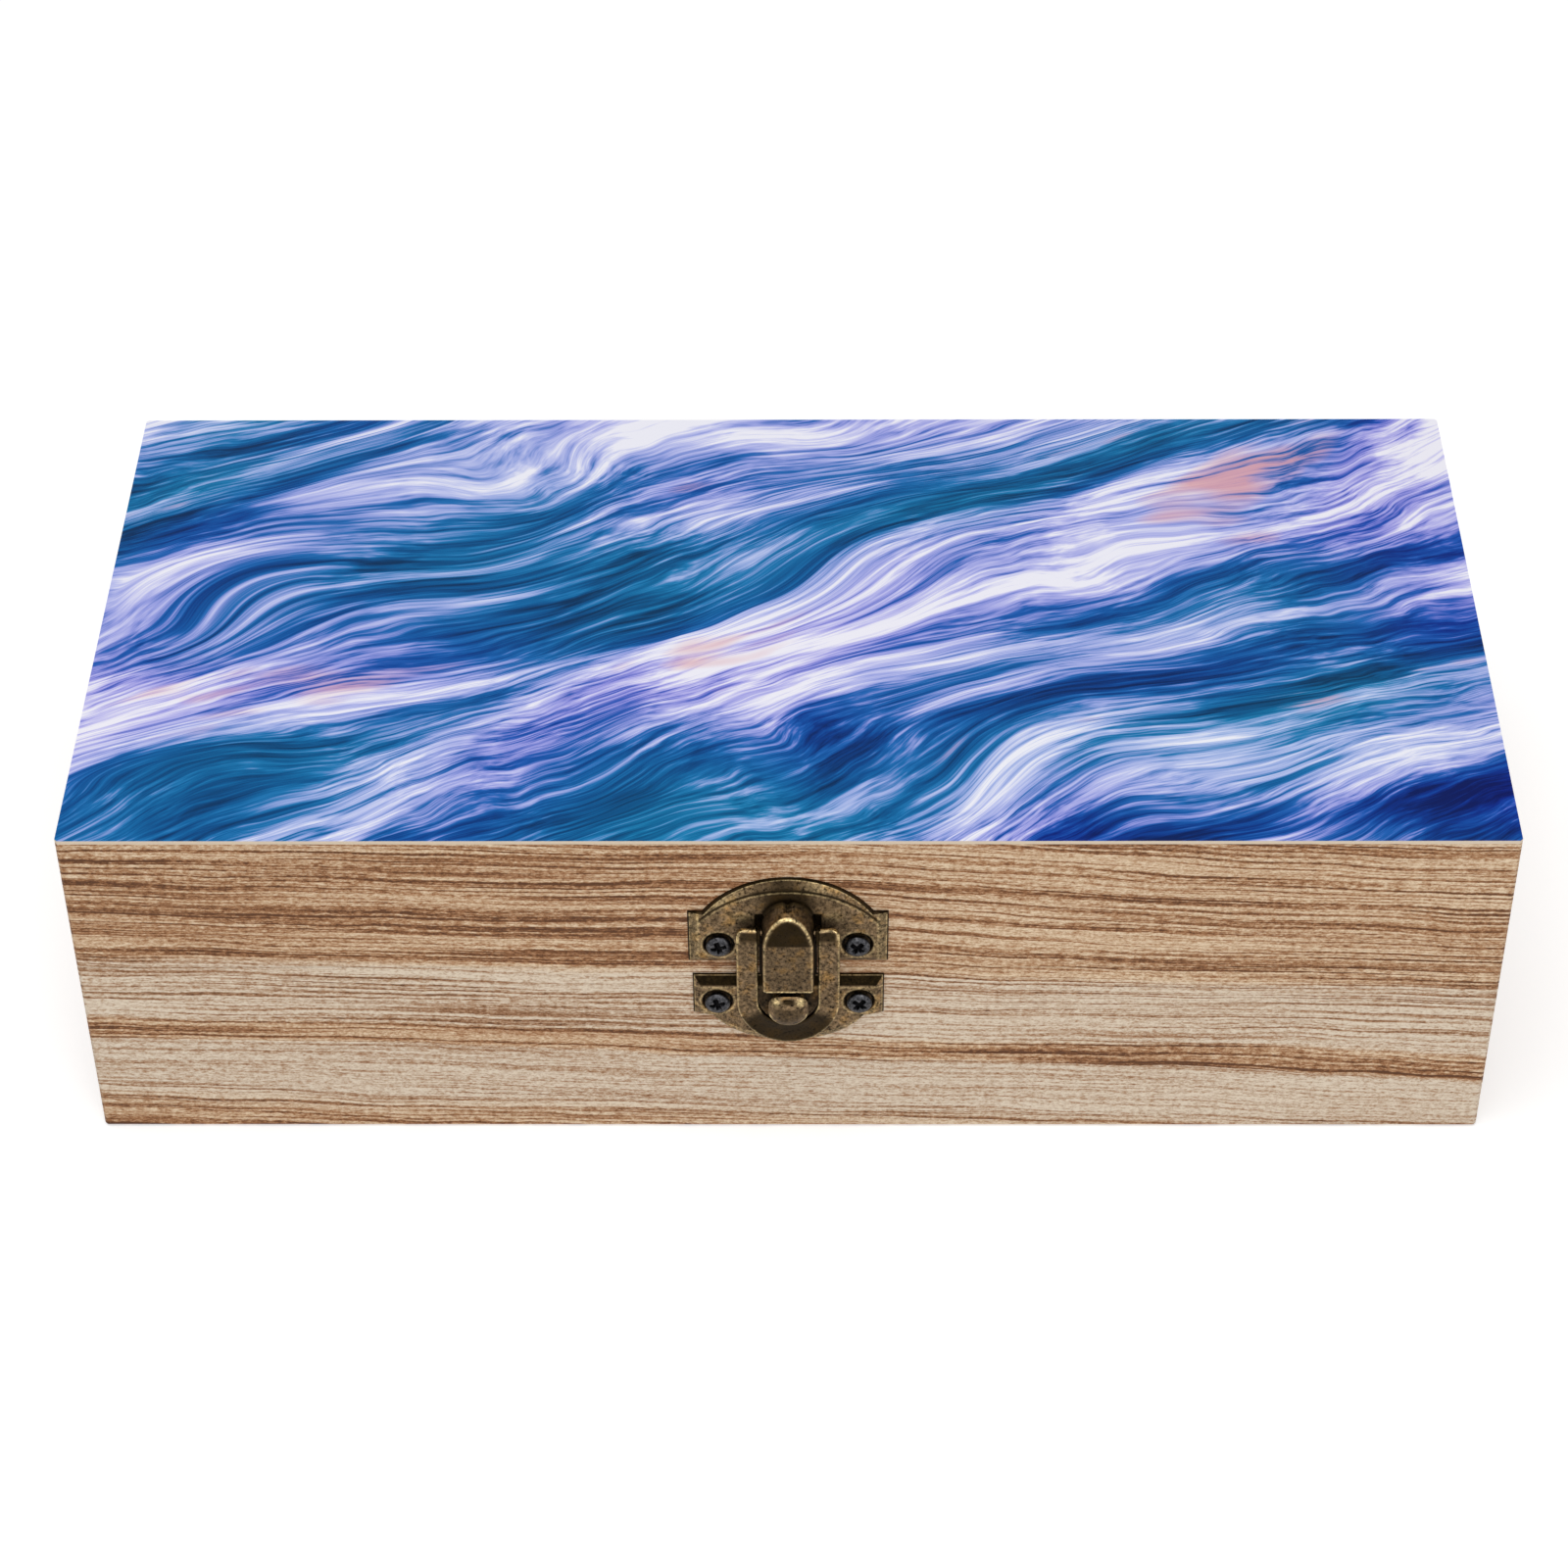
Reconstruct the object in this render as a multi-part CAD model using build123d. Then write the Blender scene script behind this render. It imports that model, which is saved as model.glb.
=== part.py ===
from build123d import *

import os

# A small wooden storage box: a rebated and glued base, a shallower lid covered by a decorated sheet,
# two butt hinges on the back, and a stamped loop latch on the front. The lid and the base are
# cut from the same size of board, so they meet flush all round.
#
# Millimetres. +X is to the right, the front faces -Y, +Z is up, and the origin is the centre
# of the underside.

# Case
box_width = 200.0
box_depth = 96.5
base_height = 32.4  # underside to the rim of the base
lid_height = 24.0  # rim of the lid to the top of the cover sheet
parting_gap = 0.1  # rim to rim, lid shut
board_thickness = 7.0
corner_tongue = 3.0  # what a front or back board keeps of its thickness over a side board's end
panel_thickness = 3.0
panel_ledge = 3.5  # how far a panel reaches into the boards round it
cover_thickness = 0.6
edge_ease = 0.4  # small flat on the upright corners and round the underside

# Butt hinges, screwed flat on the back
hinge_spacing = 112.0  # centre to centre
hinge_width = 20.0
hinge_leaf_height = 8.8  # pin axis to the free edge of a leaf
hinge_sheet = 0.8
hinge_corner = 0.9
knuckle_radius = 1.6
knuckle_standoff = 0.1  # knuckle to the wood
knuckle_share = 0.4  # the lid's middle knuckle as a share of the hinge width
knuckle_gap = 0.15  # between neighbouring knuckles
knuckle_relief = 0.25  # between a knuckle and the other leaf
hinge_pin_radius = 0.7
hinge_pin_end = 0.25
hinge_hole_spacing = 11.5
hinge_hole_height = 5.4  # pin axis to the screws

# Latch plates, each a pressed sheet with a raised field and a sloping rim
plate_rim = 0.35  # thickness at the outer edge
plate_field = 1.0  # height of the raised field
lid_plate_half_width = 13.95
lid_plate_setback = 1.75  # parting line to the straight edge
lid_plate_side = 9.3  # straight edge to the top of the ears
lid_plate_height = 15.6  # straight edge to the crown
lid_plate_ear = 2.05  # width of an ear
lid_rim_straight = 0.9
lid_rim_side = 1.35
lid_rim_crown = 1.7
base_plate_half_width = 13.45
base_plate_setback = 1.05
base_plate_side = 7.4
base_plate_height = 13.1
base_plate_ear = 2.7
base_rim_straight = 1.8
base_rim_side = 1.1
base_rim_crown = 1.3
lid_screw_inset = 4.3  # from the side of the lid plate
lid_screw_height = 3.6  # from its straight edge
base_screw_inset = 3.45
base_screw_height = 4.7

# Hood, drawn out of the lid plate and open at its foot
hood_half_width = 3.75  # where it leaves the plate
hood_sheet = 0.6
hood_draft = 3.0  # degrees
hood_drop = 0.3  # foot below the parting line
hood_length = 13.65  # foot to crown
hood_arch_rise = 2.9
hood_out = 4.8  # front face above the wood
hood_brow_length = 4.9  # crown down to the fold of the front face
hood_brow_fall = 1.25  # how far the brow leans back over that length
hood_edge_ease = 0.4
hood_notch_width = 1.1
hood_notch_depth = 0.75
hood_notch_out = 1.5  # height of the notch above the field
hood_standoff = 0.6  # the foot, below the plate, to the wood

# Hasp loop, which swings on a pin through the hood
pin_height = 8.8  # parting line to the pin axis
pin_out = 2.15  # wood to the pin axis
pin_radius = 0.4
pin_overhang = 0.12  # past the ears
loop_reach = 12.05  # pin axis to the centre of the round end
loop_leg = 3.0
loop_toe = 0.8  # how much further the round end reaches than a half circle
loop_sheet = 0.7
loop_edge_ease = 0.25
loop_shoulder = 2.1  # height of the part that leans back to the ears
loop_lean = 0.7
loop_corner = 0.9
loop_gap = 0.45  # loop leg to the side of the hood
ear_gap = 0.08  # ear to the side of the hood
ear_sheet = 0.65
ear_slot_gap = 0.15
ear_slot_top = 1.0  # open slot above the ear
swing_clearance = 0.1

# Catch, raised from the base plate, that the loop drops round
catch_side_gap = 1.4
catch_bite = 0.1  # how far the lip reaches over the loop
catch_lip = 0.95
catch_lip_gap = 0.1  # lip to the loop in front
catch_neck_inset = 0.45
catch_crown = 0.75  # the slope from the side of the catch to its crown
catch_corner = 1.0
catch_dent_radius = 1.0
catch_dent_depth = 0.5

# Wood screws with a low round head on the plate or leaf
latch_head_radius = 1.9
latch_shank_radius = 1.05
hinge_head_radius = 1.65
hinge_shank_radius = 0.9
latch_head_height = 1.0
hinge_head_height = 0.6
screw_length = 6.0  # wood surface to tip
pilot_clearance = 0.02

running_clearance = 0.05  # pins in their bores

# Worked out from the sizes above
base_rim = base_height
lid_rim = base_height + parting_gap
parting_line = base_height + parting_gap / 2
lid_top = lid_rim + lid_height
wood_top = lid_top - cover_thickness
half_width = box_width / 2
half_depth = box_depth / 2

hinge_axis_out = knuckle_standoff + knuckle_radius
knuckle_half = hinge_width * knuckle_share / 2

loop_inner = hood_half_width + loop_gap
loop_outer = loop_inner + loop_leg
loop_centre = pin_height - loop_reach
ear_inner = hood_half_width + ear_gap
ear_outer = ear_inner + ear_sheet
ear_radius = pin_out - plate_field - swing_clearance
loop_top = pin_height + ear_radius
loop_fold = loop_top - loop_shoulder
lean_at_pin = loop_lean * (pin_height - loop_fold) / loop_shoulder
loop_out = pin_out + pin_radius + swing_clearance + lean_at_pin + loop_sheet

catch_radius = loop_inner - catch_side_gap
catch_centre = loop_centre - loop_inner - catch_bite + catch_radius
catch_lip_back = loop_out + catch_lip_gap
catch_out = catch_lip_back + catch_lip
catch_top = catch_centre + catch_radius

lid_screw_x = lid_plate_half_width - lid_screw_inset
lid_screw_y = lid_plate_setback + lid_screw_height
base_screw_x = base_plate_half_width - base_screw_inset
base_screw_y = -base_plate_setback - base_screw_height

# The latch is drawn looking at the front of the box: X to the right, Y up from the parting line
# and Z out from the wood. The hinges are drawn the same way looking at the back.
front = Plane(origin=(0, -half_depth, parting_line), x_dir=(1, 0, 0), z_dir=(0, -1, 0))
back = Plane(origin=(0, half_depth, parting_line), x_dir=(-1, 0, 0), z_dir=(0, 1, 0))


def block(x0, x1, y0, y1, z0, z1):
    """A box given by its limits along each axis."""
    return Pos((x0 + x1) / 2, (y0 + y1) / 2, (z0 + z1) / 2) * Box(x1 - x0, y1 - y0, z1 - z0)


def side_prism(points, reach):
    """A solid with the outline of points, given as (up, out), over reach to either side of x = 0."""
    outline = Plane.YZ * make_face(Polyline(*points, close=True))
    return extrude(outline, amount=reach, both=True)


def cross_rod(radius, half_length, y, z):
    """A round rod along X, centred on x = 0."""
    return Pos(0, y, z) * Rot(0, 90, 0) * Cylinder(radius, 2 * half_length)


# Case boards and panels


def case_block(bottom, top, ease_bottom):
    """The outer form that the four boards are shaped to, with its upright corners eased."""
    form = block(-half_width, half_width, -half_depth, half_depth, bottom, top)
    form = chamfer(form.edges().filter_by(Axis.Z), edge_ease)
    if ease_bottom:
        form = chamfer(form.faces().sort_by(Axis.Z)[0].edges(), edge_ease)
    return form


def long_board(side, bottom, top):
    """A front (side -1) or back (side 1) board, rebated at both ends for the side boards."""
    outer = side * half_depth
    inner = side * (half_depth - board_thickness)
    tongue = side * (half_depth - corner_tongue)
    board = block(-half_width, half_width, min(outer, inner), max(outer, inner), bottom, top)
    for end in (-1, 1):
        x = sorted((end * (half_width - board_thickness), end * half_width))
        board -= block(x[0], x[1], min(tongue, inner), max(tongue, inner), bottom, top)
    return board


def short_board(side, bottom, top):
    """A left (side -1) or right (side 1) board between the tongues of the long boards."""
    x = sorted((side * half_width, side * (half_width - board_thickness)))
    y = half_depth - corner_tongue
    return block(x[0], x[1], -y, y, bottom, top)


def panel(bottom):
    """A panel that sits flush in a ledge worked round the inside of the boards."""
    x = half_width - board_thickness + panel_ledge
    y = half_depth - board_thickness + panel_ledge
    return block(-x, x, -y, y, bottom, bottom + panel_thickness)


def case_frame(bottom, top, ease_bottom, infill):
    """The four boards of the base or the lid, by name, shaped to the case and cut for its panel."""
    form = case_block(bottom, top, ease_bottom)
    boards = {
        "front": long_board(-1, bottom, top),
        "back": long_board(1, bottom, top),
        "left": short_board(-1, bottom, top),
        "right": short_board(1, bottom, top),
    }
    return {name: (board & form) - infill for name, board in boards.items()}


def lid_cover():
    """The decorated sheet glued over the whole top of the lid."""
    sheet = block(-half_width, half_width, -half_depth, half_depth, wood_top, lid_top)
    return chamfer(sheet.edges().filter_by(Axis.Z), edge_ease)


# Screws


def wood_screw(head_radius, head_height, shank_radius, plate):
    """A screw along Z whose head stands on a plate of that thickness."""
    shank = Pos(0, 0, (plate - screw_length) / 2) * Cylinder(shank_radius, plate + screw_length)
    return shank + Pos(0, 0, plate + head_height / 2) * Cylinder(head_radius, head_height)


def screw_hole(shank_radius, plate):
    """The tool for a screw's hole through a plate of that thickness and into the wood."""
    foot = -screw_length - pilot_clearance
    return Pos(0, 0, (plate + foot) / 2) * Cylinder(shank_radius + pilot_clearance, plate - foot)


def latch_holes(tool, x, y):
    """A copy of the tool at each of the two screws of a latch plate."""
    return [Pos(side * x, y, 0) * tool for side in (-1, 1)]


def hinge_holes(tool, up):
    """A copy of the tool at each screw of both hinges, on the lid (up 1) or the base (up -1)."""
    centres = [
        (hinge * hinge_spacing + hole * hinge_hole_spacing) / 2 for hinge in (-1, 1) for hole in (-1, 1)
    ]
    return [Pos(x, up * hinge_hole_height, 0) * tool for x in centres]


# Hinges


def knuckle_spans(up):
    """The x limits of the knuckles that a leaf carries: the lid's one, or the base's two."""
    if up > 0:
        return [(-knuckle_half, knuckle_half)]
    start = knuckle_half + knuckle_gap
    return [(-hinge_width / 2, -start), (start, hinge_width / 2)]


def hinge_leaf(up):
    """A leaf with its rolled knuckles, at x = 0 on the back: on the lid (up 1) or the base (up -1)."""
    edge = knuckle_radius + knuckle_relief
    y = sorted((up * edge, up * hinge_leaf_height))
    leaf = block(-hinge_width / 2, hinge_width / 2, y[0], y[1], 0, hinge_sheet)
    far_corners = leaf.edges().filter_by(Axis.Z).group_by(Axis.Y)[-1 if up > 0 else 0]
    leaf = chamfer(far_corners, hinge_corner)
    strap_y = sorted((0, up * (edge + hinge_corner)))
    for x0, x1 in knuckle_spans(up):
        strap = block(x0, x1, strap_y[0], strap_y[1], 0, hinge_sheet)
        roll = Pos((x0 + x1) / 2, 0, 0) * cross_rod(knuckle_radius, (x1 - x0) / 2, 0, hinge_axis_out)
        leaf += strap + roll
    leaf -= cross_rod(hinge_pin_radius + running_clearance, hinge_width, 0, hinge_axis_out)
    hole = screw_hole(hinge_shank_radius, hinge_sheet)
    for side in (-1, 1):
        leaf -= Pos(side * hinge_hole_spacing / 2, up * hinge_hole_height, 0) * hole
    return leaf


def hinge_pin():
    """The pin of one hinge, with its ends just proud of the knuckles."""
    return cross_rod(hinge_pin_radius, hinge_width / 2 + hinge_pin_end, 0, hinge_axis_out)


# Latch plates


def ruled_step(lower, upper, out0, out1):
    """A solid whose straight walls join one face at height out0 to another at out1."""
    return loft([Pos(0, 0, out0) * lower, Pos(0, 0, out1) * upper], ruled=True)


def arched_face(width, straight, side, crown):
    """A face with a straight edge, two sides and an arched end."""
    sides = Polyline((-width, side), (-width, straight), (width, straight), (width, side))
    return make_face(sides + ThreePointArc((width, side), (0, crown), (-width, side)))


def eared_face(width, ear, straight, side, crown):
    """The same face with a narrower arch that springs between two square ears."""
    arch = width - ear
    corners = Polyline(
        (-arch, side), (-width, side), (-width, straight), (width, straight), (width, side), (arch, side)
    )
    return make_face(corners + ThreePointArc((arch, side), (0, crown), (-arch, side)))


def pressed_plate(up, width, ear, setback, side, height, rim_straight, rim_side, rim_crown):
    """A latch plate: a thin eared outline, with a sloping rim pressed up to a flat field."""
    straight = up * setback
    shoulder = up * (setback + side)
    crown = up * (setback + height)
    outline = eared_face(width, ear, straight, shoulder, crown)
    foot = arched_face(width, straight, shoulder, crown)
    field = arched_face(
        width - rim_side,
        straight + up * rim_straight,
        shoulder - up * rim_side,
        crown - up * rim_crown,
    )
    rise = ruled_step(foot, field, plate_rim, plate_field)
    return extrude(outline, amount=plate_rim) + (rise & extrude(outline, amount=plate_field))


def hood_form(inset, foot):
    """The hood, filled in: an arched outline drawn out with draft, and cut to its front and brow."""
    width = hood_half_width - inset
    crown = -hood_drop + hood_length - inset
    outline = arched_face(width, foot - hood_arch_rise, crown - hood_arch_rise, crown)
    form = extrude(outline, amount=hood_out, taper=hood_draft)
    fold = -hood_drop + hood_length - hood_brow_length
    slope = hood_brow_fall / hood_brow_length
    front_out = hood_out - inset
    beyond = 2 * hood_brow_length
    profile = [
        (foot, 0),
        (foot, front_out),
        (fold, front_out),
        (fold + beyond, front_out - slope * beyond),
        (fold + beyond, 0),
    ]
    return form & side_prism(profile, 2 * hood_half_width)


def runs_across(edge):
    """Whether an edge is a straight line along X, as the foot and the fold of the hood are."""
    return edge.geom_type == GeomType.LINE and abs(edge.tangent_at(0.5).X) > 0.9


def eased_hood():
    """The outside of the hood, with the edges of its front face and brow eased."""
    form = hood_form(0, -hood_drop)
    showing = [face for face in form.faces() if face.normal_at(face.center()).Z > 0.9]
    edges = [edge for face in showing for edge in face.edges()]
    return chamfer([edge for edge in edges if not runs_across(edge)], hood_edge_ease)


def lid_latch_plate():
    """The plate on the lid, with the hood drawn out of it and slots for the ears of the loop."""
    plate = pressed_plate(
        1,
        lid_plate_half_width,
        lid_plate_ear,
        lid_plate_setback,
        lid_plate_side,
        lid_plate_height,
        lid_rim_straight,
        lid_rim_side,
        lid_rim_crown,
    )
    under = block(-hood_half_width, hood_half_width, -hood_drop, lid_plate_setback, 0, hood_standoff)
    plate += eased_hood() - under
    plate -= hood_form(hood_sheet, -hood_drop - hood_sheet)
    crown = hood_length - hood_drop
    side = hood_notch_width / 2
    notch = make_face(Polyline((-side, crown), (side, crown), (0, crown - hood_notch_depth), close=True))
    plate -= Pos(0, 0, plate_field) * extrude(notch, amount=hood_notch_out)
    slot_inner = hood_half_width
    slot_outer = ear_outer + ear_slot_gap
    low = pin_height - ear_radius - ear_slot_gap
    high = loop_top + ear_slot_top
    for x0, x1 in ((-slot_outer, -slot_inner), (slot_inner, slot_outer)):
        plate -= block(x0, x1, low, high, 0, plate_field)
    plate -= cross_rod(pin_radius + running_clearance, ear_inner, pin_height, pin_out)
    hole = screw_hole(latch_shank_radius, plate_field)
    for tool in latch_holes(hole, lid_screw_x, lid_screw_y):
        plate -= tool
    return plate


def base_latch_plate():
    """The plate on the base, with the catch that the loop drops round."""
    plate = pressed_plate(
        -1,
        base_plate_half_width,
        base_plate_ear,
        base_plate_setback,
        base_plate_side,
        base_plate_height,
        base_rim_straight,
        base_rim_side,
        base_rim_crown,
    )
    plate += catch()
    hole = screw_hole(latch_shank_radius, plate_field)
    for tool in latch_holes(hole, base_screw_x, base_screw_y):
        plate -= tool
    return plate


def catch_face(radius):
    """The outline of the catch: round below and square with eased corners above."""
    low = arched_face(radius, catch_top - catch_radius + radius, catch_centre, catch_centre - radius)
    corners = low.vertices().group_by(Axis.Y)[-1]
    return fillet(corners, catch_corner)


def catch():
    """A neck and a head with a sloping crown and a dent pressed in its upper edge."""
    neck = extrude(catch_face(catch_radius - catch_neck_inset), amount=catch_lip_back)
    head = Pos(0, 0, catch_lip_back) * extrude(catch_face(catch_radius), amount=catch_lip)
    head = chamfer(head.faces().sort_by(Axis.Z)[-1].edges(), catch_crown)
    dent_y = catch_top - catch_dent_radius
    dent = Pos(0, dent_y, catch_out - catch_dent_depth / 2) * Cone(0, catch_dent_radius, catch_dent_depth)
    return neck + head - dent


# Hasp loop


def loop_section():
    """The section of the loop across its right leg: a strip with its two front edges eased, X across."""
    middle = Vector((loop_inner + loop_outer) / 2, loop_out - loop_sheet / 2)
    strip = Pos(middle) * Rectangle(loop_leg, loop_sheet)
    return chamfer(strip.vertices().group_by(Axis.Y)[-1], loop_edge_ease)


def loop_round_end():
    """The round end: a half circle inside and a slightly longer half ellipse outside, edges eased."""
    toe = EllipticalCenterArc((0, loop_centre), loop_outer, loop_outer + loop_toe, 180, arc_size=180)
    inside = CenterArc((0, loop_centre), loop_inner, 180, 180)
    ends = [Line((side * loop_inner, loop_centre), (side * loop_outer, loop_centre)) for side in (-1, 1)]
    outline = make_face(toe + inside + ends)
    end = extrude(Pos(0, 0, loop_out - loop_sheet) * outline, amount=loop_sheet)
    front_edges = end.faces().sort_by(Axis.Z)[-1].edges()
    return chamfer([edge for edge in front_edges if not runs_across(edge)], loop_edge_ease)


def hasp_loop():
    """The U-shaped loop: a round end, two legs, shoulders that lean back, and ears on the pin."""
    across = Plane(origin=(0, loop_centre, 0), x_dir=(1, 0, 0), z_dir=(0, -1, 0))
    section = across * loop_section()
    round_end = loop_round_end()
    leg = extrude(section, amount=loop_fold - loop_centre, dir=(0, 1, 0))
    lean = Vector(0, loop_shoulder, -loop_lean)
    shoulder = extrude(Pos(0, loop_fold - loop_centre, 0) * section, amount=lean.length, dir=lean)
    middle = (loop_centre + loop_top) / 2
    rounding = Pos(0, middle, 0) * Rectangle(2 * loop_outer, loop_top - loop_centre)
    rounding = fillet(rounding.vertices().group_by(Axis.Y)[-1], loop_corner)
    right = (leg + shoulder) & extrude(rounding, amount=2 * loop_out)
    ear_foot = loop_out - lean_at_pin - loop_sheet / 2
    tab = block(ear_inner, ear_outer, pin_height - ear_radius, loop_top, pin_out, ear_foot)
    ear_middle = (ear_inner + ear_outer) / 2
    tab += Pos(ear_middle, 0, 0) * cross_rod(ear_radius, ear_sheet / 2, pin_height, pin_out)
    right += tab
    loop = round_end + right + mirror(right, Plane.YZ)
    return loop - cross_rod(pin_radius + running_clearance, loop_outer, pin_height, pin_out)


def hasp_pin():
    """The pin through both walls of the hood and both ears."""
    return cross_rod(pin_radius, ear_outer + pin_overhang, pin_height, pin_out)


def build():
    """Every piece of the box, by name, in its place with the lid shut."""
    pieces = {}
    bottom_panel = panel(0)
    top_panel = panel(wood_top - panel_thickness)
    base = case_frame(0, base_rim, True, bottom_panel)
    lid = case_frame(lid_rim, wood_top, False, top_panel)

    latch_hole = screw_hole(latch_shank_radius, plate_field)
    hinge_hole = screw_hole(hinge_shank_radius, hinge_sheet)
    for tool in latch_holes(latch_hole, lid_screw_x, lid_screw_y):
        lid["front"] -= front * tool
    for tool in latch_holes(latch_hole, base_screw_x, base_screw_y):
        base["front"] -= front * tool
    for tool in hinge_holes(hinge_hole, 1):
        lid["back"] -= back * tool
    for tool in hinge_holes(hinge_hole, -1):
        base["back"] -= back * tool

    for name, board in base.items():
        pieces[f"base_{name}_board"] = board
    pieces["base_bottom_panel"] = bottom_panel
    for name, board in lid.items():
        pieces[f"lid_{name}_board"] = board
    pieces["lid_top_panel"] = top_panel
    pieces["lid_cover_sheet"] = lid_cover()

    for name, side in (("left", 1), ("right", -1)):
        place = back * Pos(side * hinge_spacing / 2, 0, 0)
        pieces[f"hinge_{name}_base_leaf"] = place * hinge_leaf(-1)
        pieces[f"hinge_{name}_lid_leaf"] = place * hinge_leaf(1)
        pieces[f"hinge_{name}_pin"] = place * hinge_pin()
    hinge_screw = wood_screw(hinge_head_radius, hinge_head_height, hinge_shank_radius, hinge_sheet)
    pieces["hinge_screws_base"] = Compound([back * s for s in hinge_holes(hinge_screw, -1)])
    pieces["hinge_screws_lid"] = Compound([back * s for s in hinge_holes(hinge_screw, 1)])

    pieces["latch_lid_plate"] = front * lid_latch_plate()
    pieces["latch_base_plate"] = front * base_latch_plate()
    pieces["hasp_loop"] = front * hasp_loop()
    pieces["hasp_pin"] = front * hasp_pin()
    latch_screw = wood_screw(latch_head_radius, latch_head_height, latch_shank_radius, plate_field)
    lid_screws = latch_holes(latch_screw, lid_screw_x, lid_screw_y)
    base_screws = latch_holes(latch_screw, base_screw_x, base_screw_y)
    pieces["latch_screws_lid"] = Compound([front * s for s in lid_screws])
    pieces["latch_screws_base"] = Compound([front * s for s in base_screws])
    return pieces


os.makedirs("parts", exist_ok=True)
for name, piece in build().items():
    export_step(piece, f"parts/{name}.step")
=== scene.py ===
import math

import bmesh
import bpy
import numpy as np
from mathutils import Matrix


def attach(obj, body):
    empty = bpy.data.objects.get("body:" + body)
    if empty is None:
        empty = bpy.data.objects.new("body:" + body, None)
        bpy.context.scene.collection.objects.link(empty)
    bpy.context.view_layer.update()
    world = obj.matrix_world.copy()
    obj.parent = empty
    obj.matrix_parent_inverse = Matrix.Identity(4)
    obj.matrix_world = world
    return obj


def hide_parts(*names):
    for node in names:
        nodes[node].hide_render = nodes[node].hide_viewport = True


# A small wooden storage box with a hinged lid, a decorated lid cover and a stamped loop latch.
# Metres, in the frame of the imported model: +X to the right, the front towards -Y, +Z up.

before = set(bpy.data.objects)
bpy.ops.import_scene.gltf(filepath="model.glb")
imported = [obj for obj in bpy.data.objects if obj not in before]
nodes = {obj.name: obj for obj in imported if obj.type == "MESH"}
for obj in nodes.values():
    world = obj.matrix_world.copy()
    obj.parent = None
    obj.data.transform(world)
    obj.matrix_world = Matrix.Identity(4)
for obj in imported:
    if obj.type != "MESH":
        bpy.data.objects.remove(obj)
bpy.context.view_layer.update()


# Case: eight boards and two panels of a pale, open-pored softwood, sawn flat, planed and left bare.
# The base and the lid are cut from one glued-up carcass, so the grain runs on across their joint.


def ink(code):
    """The linear colour of an sRGB hex code: each channel c becomes ((c + 0.055) / 1.055) ** 2.4."""
    channels = [int(code[i : i + 2], 16) / 255 for i in (1, 3, 5)]
    return [c / 12.92 if c < 0.04045 else ((c + 0.055) / 1.055) ** 2.4 for c in channels] + [1.0]


def add(tree, kind, values=None, links=None, stops=None):
    """Adds a shader node, sets its properties and sockets, links it, and gives a ramp its stops."""
    node = tree.nodes.new("ShaderNode" + kind)
    for key, value in (values or {}).items():
        if isinstance(key, str) and hasattr(node, key):
            setattr(node, key, value)
        else:
            node.inputs[key].default_value = value
    for key, source in (links or {}).items():
        tree.links.new(getattr(source, "outputs", [source])[0], node.inputs[key])
    if stops:
        ramp = node.color_ramp.elements
        ramp[1].position = stops[-1][0]
        ramp[0].position = stops[0][0]
        for place, colour in stops[1:-1]:
            ramp.new(place)
        for stop, (place, colour) in zip(ramp, stops):
            stop.color = ink(colour) if isinstance(colour, str) else (colour, colour, colour, 1.0)
    return node


def new_material(name):
    """An empty material and its node tree."""
    material = bpy.data.materials.new(name)
    material.use_nodes = True
    material.node_tree.nodes.clear()
    return material, material.node_tree


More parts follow.
